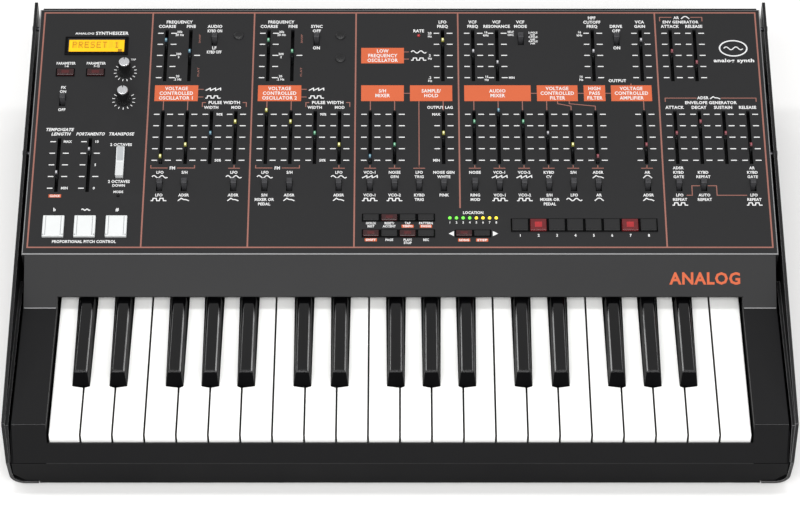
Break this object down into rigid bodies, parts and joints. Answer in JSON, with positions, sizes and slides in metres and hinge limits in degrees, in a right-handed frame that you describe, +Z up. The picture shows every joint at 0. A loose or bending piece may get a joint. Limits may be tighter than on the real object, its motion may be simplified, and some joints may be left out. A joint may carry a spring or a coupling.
{
  "type": "synthesizer",
  "caption": "Keyboard synthesizer with a sloping slider panel, hinged piano-style keys, pitch pads, knobs, a small display and rear jack sockets, in a low metal case.",
  "frame": {"origin": "on the surface it stands on, midway across the case and midway between the front rail and the back edge", "axes": "+X to the player's right along the keyboard, +Y away from the player towards the rear panel, +Z up"},
  "size_m": [0.587, 0.398, 0.1257],
  "materials": {
    "case_metal": "fine satin black powder coat",
    "cheek_metal": "satin black paint",
    "panel_metal": "matt charcoal powder coat with orange and white printing",
    "surround_plastic": "matt charcoal paint",
    "circuit_board": "green solder mask with mixed components",
    "chassis_steel": "zinc plated",
    "display_glass": "black bezel around an amber screen",
    "connector_plastic": "black plastic with nickel nuts",
    "screw_steel": "dark zinc",
    "foot_rubber": "soft matt rubber",
    "fader_tip": "translucent, lit from below in yellow, green, blue, red or white",
    "switch_plastic": "fine moulded",
    "button_plastic": "moulded, some lit red",
    "rocker_plastic": "smooth white",
    "pad_rubber": "soft white with faint ribs",
    "knob_plastic": "fluted black with a silver cap",
    "rocker_black": "smooth black",
    "white_key": "polished ivory white",
    "black_key": "satin black"
  },
  "bodies": {
    "case": {"base_pan": "case_metal", "left_cheek": "cheek_metal", "right_cheek": "cheek_metal", "control_panel": "panel_metal", "key_surround": "surround_plastic", "circuit_boards": "circuit_board", "keybed_chassis": "chassis_steel", "display": "display_glass", "rear_connectors": "connector_plastic", "case_screws": "screw_steel", "rubber_feet": "foot_rubber"},
    "faders_at_0": {"faders_at_0": "fader_tip"},
    "faders_at_25": {"faders_at_25": "fader_tip"},
    "faders_at_50": {"faders_at_50": "fader_tip"},
    "faders_at_75": {"faders_at_75": "fader_tip"},
    "faders_at_100": {"faders_at_100": "fader_tip"},
    "slide_switches": {"slide_switches": "switch_plastic"},
    "push_buttons": {"push_buttons": "button_plastic"},
    "transpose_rocker": {"transpose_rocker": "rocker_plastic"},
    "pitch_pads": {"pitch_pads": "pad_rubber"},
    "encoder_knob": {"encoder_knob": "knob_plastic"},
    "scroll_knob": {"scroll_knob": "knob_plastic"},
    "power_rocker": {"power_rocker": "rocker_black"},
    "key_c1": {"key_c1": "white_key"},
    "key_cs1": {"key_cs1": "black_key"},
    "key_d1": {"key_d1": "white_key"},
    "key_ds1": {"key_ds1": "black_key"},
    "key_e1": {"key_e1": "white_key"},
    "key_f1": {"key_f1": "white_key"},
    "key_fs1": {"key_fs1": "black_key"},
    "key_g1": {"key_g1": "white_key"},
    "key_gs1": {"key_gs1": "black_key"},
    "key_a1": {"key_a1": "white_key"},
    "key_as1": {"key_as1": "black_key"},
    "key_b1": {"key_b1": "white_key"},
    "key_c2": {"key_c2": "white_key"},
    "key_cs2": {"key_cs2": "black_key"},
    "key_d2": {"key_d2": "white_key"},
    "key_ds2": {"key_ds2": "black_key"},
    "key_e2": {"key_e2": "white_key"},
    "key_f2": {"key_f2": "white_key"},
    "key_fs2": {"key_fs2": "black_key"},
    "key_g2": {"key_g2": "white_key"},
    "key_gs2": {"key_gs2": "black_key"},
    "key_a2": {"key_a2": "white_key"},
    "key_as2": {"key_as2": "black_key"},
    "key_b2": {"key_b2": "white_key"},
    "key_c3": {"key_c3": "white_key"},
    "key_cs3": {"key_cs3": "black_key"},
    "key_d3": {"key_d3": "white_key"},
    "key_ds3": {"key_ds3": "black_key"},
    "key_e3": {"key_e3": "white_key"},
    "key_f3": {"key_f3": "white_key"},
    "key_fs3": {"key_fs3": "black_key"},
    "key_g3": {"key_g3": "white_key"},
    "key_gs3": {"key_gs3": "black_key"},
    "key_a3": {"key_a3": "white_key"},
    "key_as3": {"key_as3": "black_key"},
    "key_b3": {"key_b3": "white_key"},
    "key_c4": {"key_c4": "white_key"}
  },
  "joints": [
    {"name": "key_c1_press", "type": "hinge", "parent": "case", "child": "key_c1", "pos_m": [-0.24675, 0.002, 0.044], "axis": [1, 0, 0], "range_deg": [0, 3], "stiffness_Nm_per_rad": 0.9, "springref_deg": -7.45},
    {"name": "key_cs1_press", "type": "hinge", "parent": "case", "child": "key_cs1", "pos_m": [-0.2371, 0.002, 0.044], "axis": [1, 0, 0], "range_deg": [0, 3.2], "stiffness_Nm_per_rad": 0.9, "springref_deg": -7.45},
    {"name": "key_d1_press", "type": "hinge", "parent": "case", "child": "key_d1", "pos_m": [-0.22325, 0.002, 0.044], "axis": [1, 0, 0], "range_deg": [0, 3], "stiffness_Nm_per_rad": 0.9, "springref_deg": -7.45},
    {"name": "key_ds1_press", "type": "hinge", "parent": "case", "child": "key_ds1", "pos_m": [-0.2094, 0.002, 0.044], "axis": [1, 0, 0], "range_deg": [0, 3.2], "stiffness_Nm_per_rad": 0.9, "springref_deg": -7.45},
    {"name": "key_e1_press", "type": "hinge", "parent": "case", "child": "key_e1", "pos_m": [-0.19975, 0.002, 0.044], "axis": [1, 0, 0], "range_deg": [0, 3], "stiffness_Nm_per_rad": 0.9, "springref_deg": -7.45},
    {"name": "key_f1_press", "type": "hinge", "parent": "case", "child": "key_f1", "pos_m": [-0.17625, 0.002, 0.044], "axis": [1, 0, 0], "range_deg": [0, 3], "stiffness_Nm_per_rad": 0.9, "springref_deg": -7.45},
    {"name": "key_fs1_press", "type": "hinge", "parent": "case", "child": "key_fs1", "pos_m": [-0.1676, 0.002, 0.044], "axis": [1, 0, 0], "range_deg": [0, 3.2], "stiffness_Nm_per_rad": 0.9, "springref_deg": -7.45},
    {"name": "key_g1_press", "type": "hinge", "parent": "case", "child": "key_g1", "pos_m": [-0.15275, 0.002, 0.044], "axis": [1, 0, 0], "range_deg": [0, 3], "stiffness_Nm_per_rad": 0.9, "springref_deg": -7.45},
    {"name": "key_gs1_press", "type": "hinge", "parent": "case", "child": "key_gs1", "pos_m": [-0.141, 0.002, 0.044], "axis": [1, 0, 0], "range_deg": [0, 3.2], "stiffness_Nm_per_rad": 0.9, "springref_deg": -7.45},
    {"name": "key_a1_press", "type": "hinge", "parent": "case", "child": "key_a1", "pos_m": [-0.12925, 0.002, 0.044], "axis": [1, 0, 0], "range_deg": [0, 3], "stiffness_Nm_per_rad": 0.9, "springref_deg": -7.45},
    {"name": "key_as1_press", "type": "hinge", "parent": "case", "child": "key_as1", "pos_m": [-0.1144, 0.002, 0.044], "axis": [1, 0, 0], "range_deg": [0, 3.2], "stiffness_Nm_per_rad": 0.9, "springref_deg": -7.45},
    {"name": "key_b1_press", "type": "hinge", "parent": "case", "child": "key_b1", "pos_m": [-0.10575, 0.002, 0.044], "axis": [1, 0, 0], "range_deg": [0, 3], "stiffness_Nm_per_rad": 0.9, "springref_deg": -7.45},
    {"name": "key_c2_press", "type": "hinge", "parent": "case", "child": "key_c2", "pos_m": [-0.08225, 0.002, 0.044], "axis": [1, 0, 0], "range_deg": [0, 3], "stiffness_Nm_per_rad": 0.9, "springref_deg": -7.45},
    {"name": "key_cs2_press", "type": "hinge", "parent": "case", "child": "key_cs2", "pos_m": [-0.0726, 0.002, 0.044], "axis": [1, 0, 0], "range_deg": [0, 3.2], "stiffness_Nm_per_rad": 0.9, "springref_deg": -7.45},
    {"name": "key_d2_press", "type": "hinge", "parent": "case", "child": "key_d2", "pos_m": [-0.05875, 0.002, 0.044], "axis": [1, 0, 0], "range_deg": [0, 3], "stiffness_Nm_per_rad": 0.9, "springref_deg": -7.45},
    {"name": "key_ds2_press", "type": "hinge", "parent": "case", "child": "key_ds2", "pos_m": [-0.0449, 0.002, 0.044], "axis": [1, 0, 0], "range_deg": [0, 3.2], "stiffness_Nm_per_rad": 0.9, "springref_deg": -7.45},
    {"name": "key_e2_press", "type": "hinge", "parent": "case", "child": "key_e2", "pos_m": [-0.03525, 0.002, 0.044], "axis": [1, 0, 0], "range_deg": [0, 3], "stiffness_Nm_per_rad": 0.9, "springref_deg": -7.45},
    {"name": "key_f2_press", "type": "hinge", "parent": "case", "child": "key_f2", "pos_m": [-0.01175, 0.002, 0.044], "axis": [1, 0, 0], "range_deg": [0, 3], "stiffness_Nm_per_rad": 0.9, "springref_deg": -7.45},
    {"name": "key_fs2_press", "type": "hinge", "parent": "case", "child": "key_fs2", "pos_m": [-0.0031, 0.002, 0.044], "axis": [1, 0, 0], "range_deg": [0, 3.2], "stiffness_Nm_per_rad": 0.9, "springref_deg": -7.45},
    {"name": "key_g2_press", "type": "hinge", "parent": "case", "child": "key_g2", "pos_m": [0.01175, 0.002, 0.044], "axis": [1, 0, 0], "range_deg": [0, 3], "stiffness_Nm_per_rad": 0.9, "springref_deg": -7.45},
    {"name": "key_gs2_press", "type": "hinge", "parent": "case", "child": "key_gs2", "pos_m": [0.0235, 0.002, 0.044], "axis": [1, 0, 0], "range_deg": [0, 3.2], "stiffness_Nm_per_rad": 0.9, "springref_deg": -7.45},
    {"name": "key_a2_press", "type": "hinge", "parent": "case", "child": "key_a2", "pos_m": [0.03525, 0.002, 0.044], "axis": [1, 0, 0], "range_deg": [0, 3], "stiffness_Nm_per_rad": 0.9, "springref_deg": -7.45},
    {"name": "key_as2_press", "type": "hinge", "parent": "case", "child": "key_as2", "pos_m": [0.0501, 0.002, 0.044], "axis": [1, 0, 0], "range_deg": [0, 3.2], "stiffness_Nm_per_rad": 0.9, "springref_deg": -7.45},
    {"name": "key_b2_press", "type": "hinge", "parent": "case", "child": "key_b2", "pos_m": [0.05875, 0.002, 0.044], "axis": [1, 0, 0], "range_deg": [0, 3], "stiffness_Nm_per_rad": 0.9, "springref_deg": -7.45},
    {"name": "key_c3_press", "type": "hinge", "parent": "case", "child": "key_c3", "pos_m": [0.08225, 0.002, 0.044], "axis": [1, 0, 0], "range_deg": [0, 3], "stiffness_Nm_per_rad": 0.9, "springref_deg": -7.45},
    {"name": "key_cs3_press", "type": "hinge", "parent": "case", "child": "key_cs3", "pos_m": [0.0919, 0.002, 0.044], "axis": [1, 0, 0], "range_deg": [0, 3.2], "stiffness_Nm_per_rad": 0.9, "springref_deg": -7.45},
    {"name": "key_d3_press", "type": "hinge", "parent": "case", "child": "key_d3", "pos_m": [0.10575, 0.002, 0.044], "axis": [1, 0, 0], "range_deg": [0, 3], "stiffness_Nm_per_rad": 0.9, "springref_deg": -7.45},
    {"name": "key_ds3_press", "type": "hinge", "parent": "case", "child": "key_ds3", "pos_m": [0.1196, 0.002, 0.044], "axis": [1, 0, 0], "range_deg": [0, 3.2], "stiffness_Nm_per_rad": 0.9, "springref_deg": -7.45},
    {"name": "key_e3_press", "type": "hinge", "parent": "case", "child": "key_e3", "pos_m": [0.12925, 0.002, 0.044], "axis": [1, 0, 0], "range_deg": [0, 3], "stiffness_Nm_per_rad": 0.9, "springref_deg": -7.45},
    {"name": "key_f3_press", "type": "hinge", "parent": "case", "child": "key_f3", "pos_m": [0.15275, 0.002, 0.044], "axis": [1, 0, 0], "range_deg": [0, 3], "stiffness_Nm_per_rad": 0.9, "springref_deg": -7.45},
    {"name": "key_fs3_press", "type": "hinge", "parent": "case", "child": "key_fs3", "pos_m": [0.1614, 0.002, 0.044], "axis": [1, 0, 0], "range_deg": [0, 3.2], "stiffness_Nm_per_rad": 0.9, "springref_deg": -7.45},
    {"name": "key_g3_press", "type": "hinge", "parent": "case", "child": "key_g3", "pos_m": [0.17625, 0.002, 0.044], "axis": [1, 0, 0], "range_deg": [0, 3], "stiffness_Nm_per_rad": 0.9, "springref_deg": -7.45},
    {"name": "key_gs3_press", "type": "hinge", "parent": "case", "child": "key_gs3", "pos_m": [0.188, 0.002, 0.044], "axis": [1, 0, 0], "range_deg": [0, 3.2], "stiffness_Nm_per_rad": 0.9, "springref_deg": -7.45},
    {"name": "key_a3_press", "type": "hinge", "parent": "case", "child": "key_a3", "pos_m": [0.19975, 0.002, 0.044], "axis": [1, 0, 0], "range_deg": [0, 3], "stiffness_Nm_per_rad": 0.9, "springref_deg": -7.45},
    {"name": "key_as3_press", "type": "hinge", "parent": "case", "child": "key_as3", "pos_m": [0.2146, 0.002, 0.044], "axis": [1, 0, 0], "range_deg": [0, 3.2], "stiffness_Nm_per_rad": 0.9, "springref_deg": -7.45},
    {"name": "key_b3_press", "type": "hinge", "parent": "case", "child": "key_b3", "pos_m": [0.22325, 0.002, 0.044], "axis": [1, 0, 0], "range_deg": [0, 3], "stiffness_Nm_per_rad": 0.9, "springref_deg": -7.45},
    {"name": "key_c4_press", "type": "hinge", "parent": "case", "child": "key_c4", "pos_m": [0.24675, 0.002, 0.044], "axis": [1, 0, 0], "range_deg": [0, 3], "stiffness_Nm_per_rad": 0.9, "springref_deg": -7.45},
    {"name": "faders_0_slide", "type": "slide", "parent": "case", "child": "faders_at_0", "axis": [0, 0.9884, 0.1521], "range_m": [0, 0.044]},
    {"name": "faders_25_slide", "type": "slide", "parent": "case", "child": "faders_at_25", "axis": [0, 0.9884, 0.1521], "range_m": [-0.011, 0.033]},
    {"name": "faders_50_slide", "type": "slide", "parent": "case", "child": "faders_at_50", "axis": [0, 0.9884, 0.1521], "range_m": [-0.022, 0.022]},
    {"name": "faders_75_slide", "type": "slide", "parent": "case", "child": "faders_at_75", "axis": [0, 0.9884, 0.1521], "range_m": [-0.033, 0.011]},
    {"name": "faders_100_slide", "type": "slide", "parent": "case", "child": "faders_at_100", "axis": [0, 0.9884, 0.1521], "range_m": [-0.044, 0]},
    {"name": "switches_slide", "type": "slide", "parent": "case", "child": "slide_switches", "axis": [0, -0.9884, -0.1521], "range_m": [0, 0.005]},
    {"name": "buttons_press", "type": "slide", "parent": "case", "child": "push_buttons", "axis": [0, 0.1521, -0.9884], "range_m": [0, 0.001], "stiffness_N_per_m": 1500, "springref_m": -0.0007},
    {"name": "transpose_rock", "type": "hinge", "parent": "case", "child": "transpose_rocker", "pos_m": [-0.2165, 0.04577, 0.09299], "axis": [1, 0, 0], "range_deg": [-8, 8]},
    {"name": "pads_press", "type": "slide", "parent": "case", "child": "pitch_pads", "axis": [0, 0.1521, -0.9884], "range_m": [0, 0.0015], "stiffness_N_per_m": 2500, "springref_m": -0.0006},
    {"name": "encoder_turn", "type": "hinge", "parent": "case", "child": "encoder_knob", "pos_m": [-0.2165, 0.13149, 0.11124], "axis": [0, -0.1521, 0.9884], "continuous": true},
    {"name": "scroll_turn", "type": "hinge", "parent": "case", "child": "scroll_knob", "pos_m": [-0.2165, 0.10431, 0.10706], "axis": [0, -0.1521, 0.9884], "range_deg": [-150, 150]},
    {"name": "power_rock", "type": "hinge", "parent": "case", "child": "power_rocker", "pos_m": [0.192, 0.19, 0.084], "axis": [0, 0, 1], "range_deg": [-14, 0]}
  ]
}
